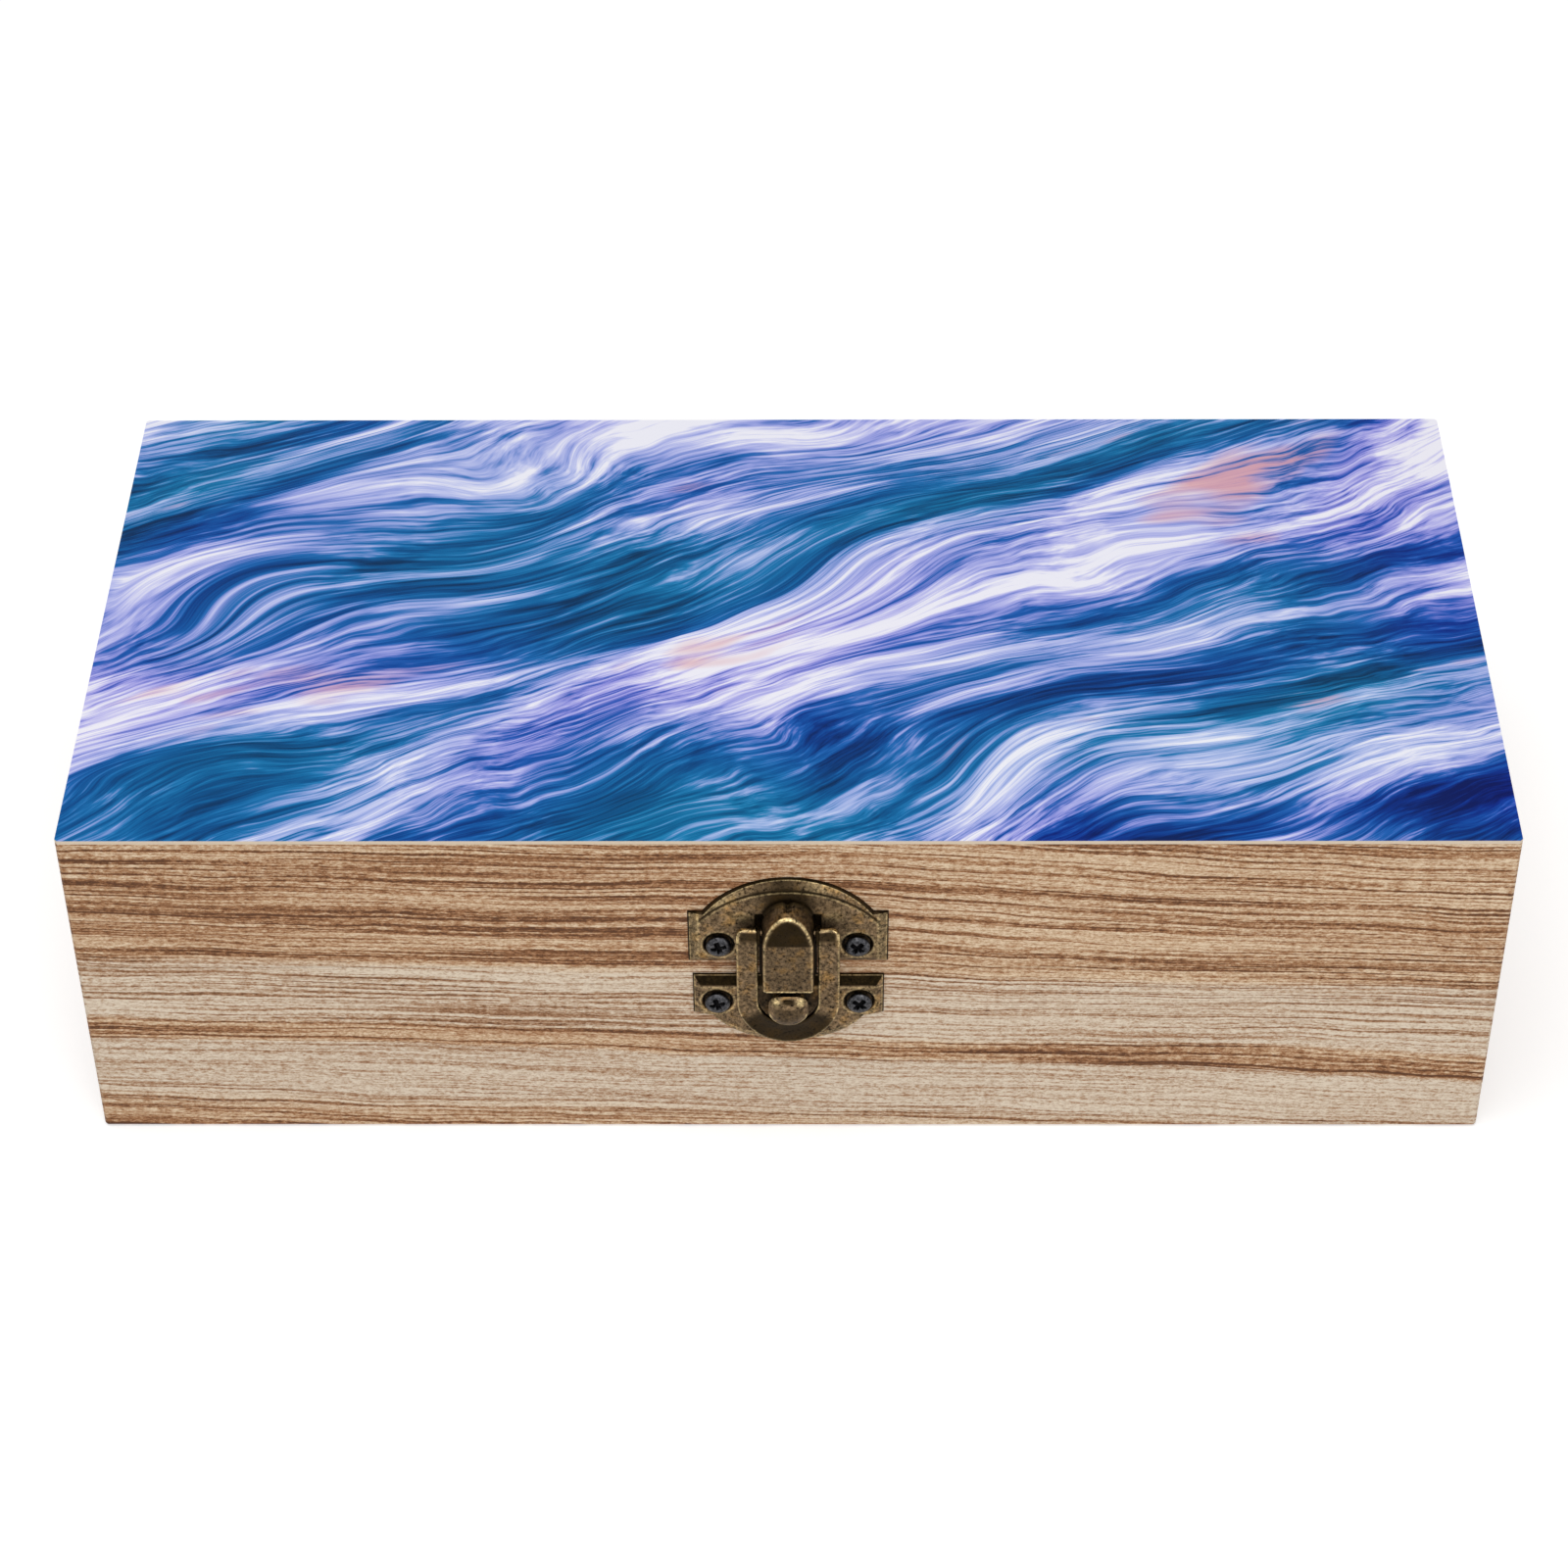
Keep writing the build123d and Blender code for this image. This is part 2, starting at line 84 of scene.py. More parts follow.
def bare_softwood(name, turn, shift):
    """Planed softwood. Board coordinates are millimetres: X along the grain, Y into the board, Z across
    its face. The eye gets long wavy lines of late wood, short dark pores between them, and broad pale
    and brown bands."""
    material, tree = new_material(name)
    where = add(tree, "TexCoord")
    board = add(
        tree,
        "Mapping",
        {"Scale": (1000, 1000, 1000), "Rotation": turn, "Location": shift},
        {"Vector": where.outputs["Object"]},
    )
    apart = add(tree, "SeparateXYZ", None, {0: board})
    along, inward, up = (apart.outputs[axis] for axis in "XYZ")

    def figure(stretch, source, detail, rough):
        """An uneven pattern in the wood: noise whose cells measure 1 / stretch mm along each axis, less
        0.5, so that it swings round zero."""
        at = add(tree, "VectorMath", {"operation": "MULTIPLY", 1: stretch}, {0: source})
        cells = add(tree, "TexNoise", {"Scale": 1.0, "Detail": detail, "Roughness": rough}, {"Vector": at})
        return add(tree, "Math", {"operation": "SUBTRACT", 1: 0.5}, {0: cells})

    # The growth rings lie aslant in a board, so that they show as lines on its edges too. The trunk was
    # not quite straight, so they wander by a few millimetres along it.
    ring = add(tree, "Math", {"operation": "MULTIPLY_ADD", 1: 0.7}, {0: inward, 2: up})
    for stretch, detail, reach in (((0.009, 0.03, 0.018), 1.0, 7.0), ((0.045, 0.1, 0.14), 2.0, 2.0)):
        wander = figure(stretch, board, detail, 0.5)
        ring = add(tree, "Math", {"operation": "MULTIPLY_ADD", 1: reach}, {0: wander, 2: ring})
    # Towards the +X end of a board its rings come down: the upper ones by up to 4.5 mm, and the lowest by
    # up to 4.2 mm, so that these run out at its foot
    sweeps = []
    for growth_along, share_up in (
        (
            {"interpolation_type": "SMOOTHSTEP", "From Max": 110.0, "To Max": 4.5},
            {"interpolation_type": "SMOOTHSTEP", "From Min": 24.0, "From Max": 40.0},
        ),
        (
            {"From Min": -100.0, "From Max": 100.0, "To Max": 4.2},
            {"From Min": 26.0, "From Max": 10.0},
        ),
    ):
        grown = add(tree, "MapRange", growth_along, {0: along})
        part = add(tree, "MapRange", share_up, {0: up})
        sweeps.append(add(tree, "Math", {"operation": "MULTIPLY"}, {0: grown, 1: part}))
        ring = add(tree, "Math", {"operation": "ADD"}, {0: ring, 1: sweeps[-1]})

    # How dark the wood is, from 0 to 1, starts from broad bands over a face 57 mm high
    place = add(tree, "Math", {"operation": "DIVIDE", 1: 57.0}, {0: ring})
    bands = add(
        tree,
        "ValToRGB",
        None,
        {0: place},
        [(0.0, 0.52), (0.055, 0.40), (0.10, 0.26), (0.14, 0.2), (0.27, 0.2), (0.285, 0.56)]
        + [(0.33, 0.5), (0.35, 0.26), (0.54, 0.27), (0.57, 0.50), (0.72, 0.46), (0.86, 0.50), (1.0, 0.46)],
    )
    # Broad blotches come on top. The wood is a little paler towards the end where the rings come down,
    # and most of all in the upper ones, the first of the sweeps.
    blotches = figure((0.02, 0.05, 0.1), board, 2.0, 0.5)
    dark = bands
    for source, share in ((blotches, 0.24), (along, -0.0001), (sweeps[0], -0.014)):
        dark = add(tree, "Math", {"operation": "MULTIPLY_ADD", 1: share}, {0: source, 2: dark})
    # Late wood: lines up to 1 mm wide and 2 mm apart that run the length of the board, frayed by the
    # pores. Then thinner streaks, 20 to 70 mm long, which show in the pale bands too.
    across = add(tree, "CombineXYZ", None, {"X": along, "Y": inward, "Z": ring})
    pores = figure((0.5, 1.4, 1.7), board, 3.0, 0.7)
    late = figure((0.005, 0.06, 0.55), across, 2.0, 0.6)
    late = add(tree, "Math", {"operation": "MULTIPLY_ADD", 1: 0.3}, {0: pores, 2: late})
    streaks = figure((0.014, 0.3, 1.9), across, 2.0, 0.7)
    for lines, depth_by_line, weight_by_band in (
        (
            late,
            {"From Min": 0.0, "From Max": 0.13, "To Min": -0.06, "To Max": 0.3},
            {"From Min": 0.2, "From Max": 0.5, "To Min": 0.35, "To Max": 1.0},
        ),
        (
            streaks,
            {"From Min": -0.04, "From Max": 0.13, "To Min": -0.19, "To Max": 0.46},
            {"From Min": 0.2, "From Max": 0.27, "To Min": 0.5, "To Max": 1.0},
        ),
    ):
        depth = add(tree, "MapRange", depth_by_line, {0: lines})
        weight = add(tree, "MapRange", weight_by_band, {0: bands})
        dark = add(tree, "Math", {"operation": "MULTIPLY_ADD"}, {0: depth, 1: weight, 2: dark})
    # Pores and fibres. The real ones are 0.1 mm wide, and these are drawn three times as coarse to show.
    fibres = figure((1.5, 2.8, 3.4), board, 2.0, 0.8)
    for source, share in ((pores, 1.1), (fibres, 1.45)):
        dark = add(tree, "Math", {"operation": "MULTIPLY_ADD", 1: share}, {0: source, 2: dark})
    tone = add(
        tree,
        "ValToRGB",
        None,
        {0: dark},
        [(0.0, "#E0CFB6"), (0.25, "#C8AF93"), (0.5, "#AB8461"), (0.75, "#855A39"), (1.0, "#573720")],
    )
    # The brown bands are warmer than the pale ones at the same lightness, so the tone is multiplied by a
    # cool or a warm tint. A colour Mix has its two colours in sockets 6 and 7, and its result in 2.
    cool, warm = (1.0, 1.03, 1.1, 1), (1.06, 1.0, 0.935, 1)
    brown = add(tree, "MapRange", {"From Min": 0.24, "From Max": 0.46}, {0: bands})
    tint = add(tree, "Mix", {"data_type": "RGBA", 6: cool, 7: warm}, {0: brown})
    tone = add(tree, "VectorMath", {"operation": "MULTIPLY"}, {0: tone, 1: tint.outputs[2]})
    bump = add(tree, "Bump", {"Strength": 0.6, "Distance": 0.00012, "invert": True}, {"Height": dark})
    shader = add(
        tree,
        "BsdfPrincipled",
        {"Roughness": 0.65, "Specular IOR Level": 0.25},
        {"Base Color": tone, "Normal": bump},
    )
    add(tree, "OutputMaterial", None, {"Surface": shader})
    return material


quarter = math.pi / 2
# The front and the back of the case stand this far from its middle
half_depth = 48.25
# A turn lays the pattern's grain along a board, and a shift in mm gives each side another cut of it
for side, turn, shift in (
    ("front", (0, -0.02, 0), (0, half_depth, 0)),
    ("back", (0, 0.01, 0), (310, 0, 7)),
    ("left", (0, 0, quarter), (-420, 60, 3)),
    ("right", (0, 0, quarter), (520, 90, -4)),
):
    wood = bare_softwood(f"planed_softwood_{side}", turn, shift)
    for half in ("base", "lid"):
        nodes[f"{half}_{side}_board"].data.materials[0] = wood
panel_wood = bare_softwood("planed_softwood_panels", (quarter, 0, 0), (150, 0, 20))
for name in ("base_bottom_panel", "lid_top_panel"):
    nodes[name].data.materials[0] = panel_wood


# Lid cover: a thin white board glued over the whole lid and printed edge to edge. Its coat is matt, so
# the eye gets the full colour of the print and no glare. The design is a generic one of combed and
# brushed paint. The cut edge shows the bare pale board.

matt_print, tree = new_material("matt_printed_board")
where = add(tree, "TexCoord")
sheet = add(
    tree,
    "Mapping",
    {"Scale": (1000, 1000, 1000), "Rotation": (0, 0, -0.42), "Location": (12, -7, 0)},
    {"Vector": where.outputs["Object"]},
)


def brushed(stretch, source, detail, rough):
    """Noise whose cells measure 1 / stretch mm along each axis of the sheet."""
    at = add(tree, "VectorMath", {"operation": "MULTIPLY", 1: (*stretch, 0.0)}, {0: source})
    return add(tree, "TexNoise", {"Scale": 1.0, "Detail": detail, "Roughness": rough}, {"Vector": at})


def carried(source, by, reach):
    """A place moved by a colour noise, up to half of reach mm each way along each axis."""
    push = add(tree, "VectorMath", {"operation": "SUBTRACT", 1: (0.5, 0.5, 0.5)}, {0: by.outputs["Color"]})
    return add(tree, "VectorMath", {"operation": "MULTIPLY_ADD", 1: (*reach, 0.0)}, {0: push, 2: source})


poured = carried(sheet, brushed((0.012, 0.02), sheet, 1.0, 0.5), (60, 50))
combed = carried(poured, brushed((0.04, 0.08), poured, 2.0, 0.5), (22, 7))
# The paint's lightness is the sum of bands 28 mm wide, streaks 6 mm wide and hairs 1 mm wide
broad = brushed((0.009, 0.036), combed, 2.0, 0.5)
level = add(tree, "Math", {"operation": "MULTIPLY_ADD", 1: 1.4, 2: -1.21}, {0: broad})
for stretch, rough, share in (((0.02, 0.16), 0.6, 1.15), ((0.045, 1.1), 0.7, 0.9)):
    strokes = brushed(stretch, combed, 4.0, rough)
    level = add(tree, "Math", {"operation": "MULTIPLY_ADD", 1: share}, {0: strokes, 2: level})
paint = add(
    tree,
    "ValToRGB",
    None,
    {0: level},
    [(0.17, "#062A5C"), (0.31, "#0C468B"), (0.40, "#135EA5"), (0.46, "#2671BB"), (0.515, "#6E8BD2")]
    + [(0.57, "#9BA9E8"), (0.66, "#C5CBF6"), (0.77, "#F5F5FF")],
)
# The hue drifts slowly between teal and violet
drift = add(
    tree,
    "MapRange",
    {"From Min": 0.35, "From Max": 0.65, "To Min": 0.475, "To Max": 0.525},
    {0: brushed((0.011, 0.03), poured, 1.0, 0.5)},
)
paint = add(tree, "HueSaturation", None, {"Hue": drift, "Color": paint})
# Here and there the light paint has a blush of pink
patches = brushed((0.016, 0.05), poured, 3.0, 0.6)
patches = add(tree, "MapRange", {"From Min": 0.6, "From Max": 0.7}, {0: patches})
light_paint = add(tree, "MapRange", {"From Min": 0.42, "From Max": 0.56, "To Max": 0.8}, {0: level})
blush = add(tree, "Math", {"operation": "MULTIPLY"}, {0: patches, 1: light_paint})
paint = add(tree, "Mix", {"data_type": "RGBA", 7: ink("#E2A3A6")}, {0: blush, 6: paint})
facing = add(tree, "SeparateXYZ", None, {0: where.outputs["Normal"]})
on_top = add(tree, "Math", {"operation": "GREATER_THAN", 1: 0.5}, {0: facing.outputs["Z"]})
cover_colour = add(tree, "Mix", {"data_type": "RGBA", 6: ink("#D9C9B4")}, {0: on_top, 7: paint.outputs[2]})
shader = add(
    tree,
    "BsdfPrincipled",
    {"Roughness": 0.42, "Specular IOR Level": 0.05},
    {"Base Color": cover_colour.outputs[2]},
)
add(tree, "OutputMaterial", None, {"Surface": shader})
nodes["lid_cover_sheet"].data.materials[0] = matt_print


# Metal of the latch and hinges: stamped steel sheet, brass plated, blackened and then rubbed, so that
# the eye gets dark hollows and shining edges. Each point of a new piece says how dark it is, from the
# blackening in its hollows and from painted shade, and how light, from rubbing and painted highlights.

antique_bronze, tree = new_material("antiqued_bronze_plate")
where = add(tree, "TexCoord")
metal_at = add(tree, "VectorMath", {"operation": "SCALE", "Scale": 1000.0}, {0: where.outputs["Object"]})
# The tarnish lies in patches about 2 mm across
cloud = add(tree, "TexNoise", {"Scale": 0.45, "Detail": 3.0}, {"Vector": metal_at})
tarnish = add(tree, "ValToRGB", None, {0: cloud}, [(0.35, "#5E4D38"), (0.52, "#6F5C45"), (0.68, "#83663F")])
# Both finishes and their tone break up with the grit of the surface, about half a millimetre across.
# The real grit is finer, and is drawn coarser so that it shows.
grit = add(tree, "TexNoise", {"Scale": 2.0, "Detail": 3.0, "Roughness": 0.8}, {"Vector": metal_at})
grit_swing = add(
    tree,
    "MapRange",
    {"From Min": 0.3, "From Max": 0.7, "To Min": 0.8, "To Max": 1.3},
    {"Value": grit},
)
grit_tone = add(
    tree,
    "MapRange",
    {"From Min": 0.32, "From Max": 0.7, "To Min": 0.0, "To Max": 2.1},
    {"Value": grit},
)
bronze_colour = tarnish
# The dark mark mixes in near black, for blackening and for painted shade, and the light mark a pale brass,
# for rubbed wear and for painted highlights
for mark, colour in (("blackened", "#1C150A"), ("wear_and_highlight", "#BBA679")):
    given = add(tree, "Attribute", {"attribute_name": mark})
    mark_share = add(
        tree,
        "Math",
        {"operation": "MULTIPLY", "use_clamp": True},
        {0: given.outputs["Fac"], 1: grit_swing},
    )
    mixed = add(tree, "Mix", {"data_type": "RGBA", 7: ink(colour)}, {0: mark_share, 6: bronze_colour})
    bronze_colour = mixed.outputs[2]
bronze_colour = add(tree, "VectorMath", {"operation": "SCALE"}, {0: bronze_colour, "Scale": grit_tone})
# The last share is that of the light mark, rubbed wear and painted highlight, which is the smoother one
polish = add(tree, "MapRange", {"To Min": 0.5, "To Max": 0.32}, {"Value": mark_share})
bump = add(tree, "Bump", {"Strength": 0.5, "Distance": 0.00005}, {"Height": grit})
shader = add(
    tree,
    "BsdfPrincipled",
    {"Metallic": 1.0},
    {"Base Color": bronze_colour, "Roughness": polish, "Normal": bump},
)
add(tree, "OutputMaterial", None, {"Surface": shader})
for name in nodes:
    if name.startswith("hinge") or name == "hasp_pin":
        nodes[name].data.materials[0] = antique_bronze


# Screws: blackened steel, with a low domed head and a cross recess. The hinge screws stand on the
# leaves, and each goes 6 mm into the wood. The eye gets dark grey heads with a dull shine.

black_steel, tree = new_material("blackened_steel")
where = add(tree, "TexCoord")
grain_at = add(tree, "VectorMath", {"operation": "SCALE", "Scale": 1000.0}, {0: where.outputs["Object"]})
# The blackening is a little uneven. Its grain is drawn 0.4 mm across so that it shows, coarser than it is.
grain = add(tree, "TexNoise", {"Scale": 2.5, "Detail": 3.0, "Roughness": 0.65}, {"Vector": grain_at})
steel = add(tree, "ValToRGB", None, {0: grain}, [(0.35, "#28282A"), (0.5, "#3F3F42"), (0.68, "#605F61")])
# The cross recess is painted near black, as the shade in it
recess_shade = add(tree, "Attribute", {"attribute_name": "blackened"})
shaded_recess = add(tree, "Mix", {"data_type": "RGBA", 7: ink("#0B0A0C")}, {0: recess_shade.outputs["Fac"], 6: steel})
shader = add(
    tree,
    "BsdfPrincipled",
    {"Metallic": 1.0, "Roughness": 0.38},
    {"Base Color": shaded_recess.outputs[2]},
)
add(tree, "OutputMaterial", None, {"Surface": shader})

# The joint of lid and base lies this high
seam_height = 32.45


def ease(value, low, high):
    """Runs smoothly from 0 at low to 1 at high: t * t * (3 - 2 * t) of the clipped share t."""
    t = np.clip((value - low) / (high - low), 0, 1)
    return t * t * (3 - 2 * t)


def on_front(x, y, out):
    """World points of places on the front: x right, y up from the joint of lid and base, out from it."""
    return np.stack(np.broadcast_arrays(x, -half_depth - out, seam_height + y), -1) / 1000


def on_back(x, y, out):
    """The same for places on the back, with x still to the right of the front view."""
    return np.stack(np.broadcast_arrays(x, half_depth + out, seam_height + y), -1) / 1000


def net(rows, columns, first=0, closed=False):
    """The four-sided faces of a grid of points, row by row, joined end to end where it is closed."""
    row = np.arange(rows - 1)[:, None] * columns + first
    column = np.arange(columns if closed else columns - 1)[None, :]
    beside = (column + 1) % columns
    corners = [row + column, row + beside, row + columns + beside, row + columns + column]
    return np.stack(corners, -1).reshape(-1, 4)


def make_piece(name, points, faces, material, body, stands_for, marks):
    """A mesh piece of those points and faces, sewn where points meet, that rides on a body. Its marks
    say, from 0 to 1, how dark each point is, from blackening and painted shade, and how light, from rubbing
    and painted highlights."""
    mesh = bpy.data.meshes.new(name)
    mesh.from_pydata(points.reshape(-1, 3).tolist(), [], [face for part in faces for face in part.tolist()])
    for mark, values in marks.items():
        kept = np.clip(values, 0, 1).astype(np.float32)
        mesh.attributes.new(mark, "FLOAT", "POINT").data.foreach_set("value", kept)
    shape = bmesh.new()
    shape.from_mesh(mesh)
    bmesh.ops.remove_doubles(shape, verts=shape.verts, dist=2e-6)
    bmesh.ops.dissolve_degenerate(shape, edges=shape.edges, dist=1e-7)
    bmesh.ops.recalc_face_normals(shape, faces=shape.faces)
    shape.to_mesh(mesh)
    shape.free()
    mesh.polygons.foreach_set("use_smooth", np.ones(len(mesh.polygons), bool))
    mesh.materials.append(material)
    piece = bpy.data.objects.new(name, mesh)
    bpy.context.scene.collection.objects.link(piece)
    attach(piece, body)
    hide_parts(stands_for)
    return piece


def domed_screws(name, centres, place, size, body, node):
    """Turned solids: the profile runs from the tip up the shank, under the head, round its rim and over
    a dome seat + rise * sqrt(1 - (r / head) ** 2), from which two crossed slots are pressed."""
    head, shank, seat, rise = size
    # How far it goes in, how long its point is, and how deep the slots are
    length, point, recess = 6.0, 1.6, 0.5
    dome = np.sin(np.linspace(np.pi / 2, 0, 26))
    radius = np.concatenate([[0, 0.5 * shank, shank, shank, head - 0.1, head], head * dome])
    tip = [-length, point / 2 - length, point - length]
    under_head = [seat - 0.4, seat - 0.25, seat - 0.15]
    height = np.concatenate([tip, under_head, seat + rise * np.sqrt(1 - dome**2)])
    turn = np.linspace(0, 2 * np.pi, 144, endpoint=False)
    r, angle = np.meshgrid(radius, turn, indexing="ij")
    out = np.repeat(height[:, None], len(turn), 1)
    cross = 0
    for swing in (0, np.pi / 2):
        long, wide = np.abs(r * np.cos(angle + swing)), np.abs(r * np.sin(angle + swing))
        slot = (1 - ease(long, 0.5 * head, 0.68 * head)) * (1 - ease(wide, 0.12 * head, 0.24 * head))
        cross = np.maximum(cross, slot)
    cross = cross * (out > seat + 0.3 * rise)
    points, faces = [], []
    for count, (x, y) in enumerate(centres):
        # Each screw stopped at another angle
        spin = angle + 0.6 * count + 0.3
        points.append(place(x + r * np.cos(spin), y + r * np.sin(spin), out - recess * cross).reshape(-1, 3))
        faces.append(net(*r.shape, first=count * r.size, closed=True))
    # The slots of the cross carry the painted shade
    marks = {"blackened": np.tile(cross.ravel(), len(centres))}
    return make_piece(name, np.concatenate(points), faces, black_steel, body, node, marks)


# Head radius, shank radius, height of the rim over the wood, and rise of the dome
hinge_screw = (1.65, 0.9, 1.0, 0.4)
latch_screw = (1.78, 1.0, 1.4, 0.55)
# How far each hinge is from the middle of the back, its screws from its own middle, and from the seam
hinge_centre = 56
hole_from_centre = 5.75
hole_from_seam = 5.4
hinge_holes = [side * hinge_centre + hole * hole_from_centre for side in (-1, 1) for hole in (-1, 1)]
for half, up in (("lid", 1), ("base", -1)):
    centres = [(x, up * hole_from_seam) for x in hinge_holes]
    domed_screws(f"{half}_hinge_screws", centres, on_back, hinge_screw, half, f"hinge_screws_{half}")
lid_screws = [(-9.65, 5.35), (9.65, 5.35)]
base_screws = [(-10.0, -5.75), (10.0, -5.75)]
for half, centres in (("lid", lid_screws), ("base", base_screws)):
    domed_screws(f"{half}_latch_screws", centres, on_front, latch_screw, half, f"latch_screws_{half}")


# Latch plates: sheet 0.35 mm thick, pressed so that a sloping rim rises to a flat field 1 mm above
# the wood, with an ear at each end of the arched side. Each screw sits in a dish pressed back down.


def arch(x, half, side, crown):
    """The height at x of the circular arch through (-half, side), (0, crown) and (half, side)."""
    rise = crown - side
    radius = (half**2 + rise**2) / (2 * rise)
    return crown - radius + np.sqrt(np.maximum(radius**2 - x**2, 0))


def soft_least(a, b, softness):
    """The lesser of a and b, rounded where they meet: less h * h * softness / 4, h their nearness."""
    near = np.clip(1 - np.abs(a - b) / softness, 0, 1)
    return np.minimum(a, b) - near**2 * softness / 4


def bell(value, middle, width):
    """A soft line along value = middle: exp(-((value - middle) / width) ** 2)."""
    return np.exp(-(((value - middle) / width) ** 2))


def pressed_plate(name, up, size, screws, pole, detail, body, node):
    """Rings that shrink from the eared outline to a pole. A point's share of the way up the rim is the
    least of its shares of the straight, side and crown rims, rounded where two meet, and out = edge_out +
    (field_out - edge_out) * share, less the dishes round the screws, plus what detail gives."""
    half, ear, straight, side, crown, straight_rim, side_rim, crown_rim = size
    # How far out the edge and the field lie, and the least that a dish or an opening leaves
    edge_out, field_out, lowest = 0.35, 1.0, 0.04
    # How deep a dish is, and the radii of its floor and of its edge
    dish_depth, dish_floor, dish_edge = 0.6, 1.8, 2.3
    around = 760
    sweep = np.linspace(half - ear, ear - half, 200)
    across = np.concatenate([[-half, half, half], sweep, [-half, -half]])
    crest = arch(sweep, half - ear, side, crown)
    upward = np.concatenate([[straight, straight, side], crest, [side, straight]])
    run = np.concatenate([[0], np.cumsum(np.hypot(np.diff(across), np.diff(upward)))])
    even = np.linspace(0, run[-1], around, endpoint=False)
    # Each ring's share of the way to the pole
    inward = np.concatenate([[0, 0, 0.005, 0.011], np.linspace(0.018, 1, 98)])[:, None]
    x = np.interp(even, run, across) * (1 - inward)
    y = pole + (np.interp(even, run, upward) - pole) * (1 - inward)

    on_straight = (y - straight) / straight_rim
    on_side = (half - np.abs(x)) / side_rim
    foot = arch(x, half, side, crown)
    fold = arch(x, half - side_rim, side - side_rim, crown - crown_rim)
    on_crown = (foot - y) / np.maximum(foot - fold, 0.3)
    share = soft_least(soft_least(on_straight, on_side, 0.3), on_crown, 0.3)
    away = np.min([np.hypot(x - a, y - b) for a, b in screws], axis=0)
    more, black, shine = detail(x, y, on_straight, on_side, on_crown)
    out = edge_out + (field_out - edge_out) * soft_least(np.maximum(share, 0), 1.0, 0.35)
    out = np.maximum(out - dish_depth * (1 - ease(away, dish_floor, dish_edge)) + more, lowest)
    # The first three rings are the cut edge of the sheet, slightly rounded at its top
    out[:3] = np.array([0, 0.22, 0.31])[:, None]

    # The cut edge is painted dark, as the shade under the sheet's edge, with a painted highlight inside it,
    # and each dish is painted dark, as the shade in its hollow, with a painted highlight round it
    edge, beside_edge = inward < 0.012, inward < 0.025
    black = black + 0.8 * bell(away, 2.0, 0.25) + 0.5 * (away < 2.0) + 0.8 * edge
    shine = (shine + 0.35 * beside_edge + 0.3 * bell(away, 2.45, 0.16)) * ~edge
    # The back is a fan of triangles from one more point, on the wood under the pole
    on_wood = on_front(0, up * pole, 0).reshape(1, 3)
    points = np.concatenate([on_front(x, up * y, out).reshape(-1, 3), on_wood])
    ring = np.append(np.arange(around), 0)
    back = np.stack([np.full(around, x.size), ring[1:], ring[:-1]], -1)
    faces = [net(*x.shape, closed=True), back]
    marks = {"blackened": np.append(black.ravel(), 1.0), "wear_and_highlight": np.append(shine.ravel(), 0.0)}
    return make_piece(name, points, faces, antique_bronze, body, node, marks)


# The hood's foot: half its width, where its straight sides end, and the top of its arch
hood_half, hood_spring, hood_crown = 3.75, 9.15, 13.35


def lid_plate_detail(x, y, on_straight, on_side, on_crown):
    """Open under the hood and in the slots beside it. Painted shade darkens the slots, the crown slope, the
    side rims and the fold of the crown, patina and painted shade darken round and above the hood, and
    painted highlights light the folds and slopes.
    """
    # Roughly how many millimetres a point lies inside the hood's foot
    from_foot = np.hypot(x / hood_half, np.maximum(y - hood_spring, 0) / (hood_crown - hood_spring))
    inside = 3.9 * (1 - from_foot)
    # The slots are 1.6 mm wide and 3.5 mm long
    from_middle = np.abs(x)
    slot = ease(from_middle, 3.0, 3.1) * (1 - ease(from_middle, 4.5, 4.65))
    slot = slot * ease(y, 7.5, 7.6) * (1 - ease(y, 11.0, 11.2))
    more = -1.2 * np.maximum(ease(inside, 0.1, 0.45), slot)

    field = ease(np.minimum(on_straight, on_side), 0.8, 1.1)
    below_fold = field * ease(on_crown, 1.0, 1.2) * ease(y, 9.5, 13.0)
    slope = field * (1 - ease(on_crown, 0.85, 1.0))
    on_side_rim = 1 - ease(on_side, 0.8, 1.0)
    # Painted shade in the slots, along the fold of the crown, on the crown slope and on the side rims;
    # patina with painted shade round the hood's foot and above the hood
    black = 0.95 * field * bell(on_crown, 1.03, 0.12) + 0.8 * slot
    black = black + 0.75 * bell(inside, 0, 0.45) * ease(y, 8, 11)
    black = black + 0.8 * below_fold * (1 - ease(from_middle, 2.0, 5.5))
    black = black + 0.75 * slope * bell(x, -0.5, 4) + 0.3 * on_side_rim
    # Painted highlights beside the fold of the crown, on the crown slopes, and on the side rims and their
    # fold
    shine = 0.35 * field * bell(on_crown, 1.25, 0.07)
    shine = shine + slope * (0.15 * bell(x, 4.2, 1.6) + 0.3 * bell(x, -9.5, 2.5))
    shine = shine + 0.12 * on_side_rim + 0.3 * bell(on_side, 1.05, 0.12)
    # A painted highlight where the loop's shoulders swing past lightens the plate's dark reflection of the
    # loop
    shine = shine + 0.35 * bell(from_middle, 6.3, 1.4) * bell(y, 10.7, 0.8)
    return more, black, shine


# The middle of the catch lies this far under the seam
catch_below = 4.75


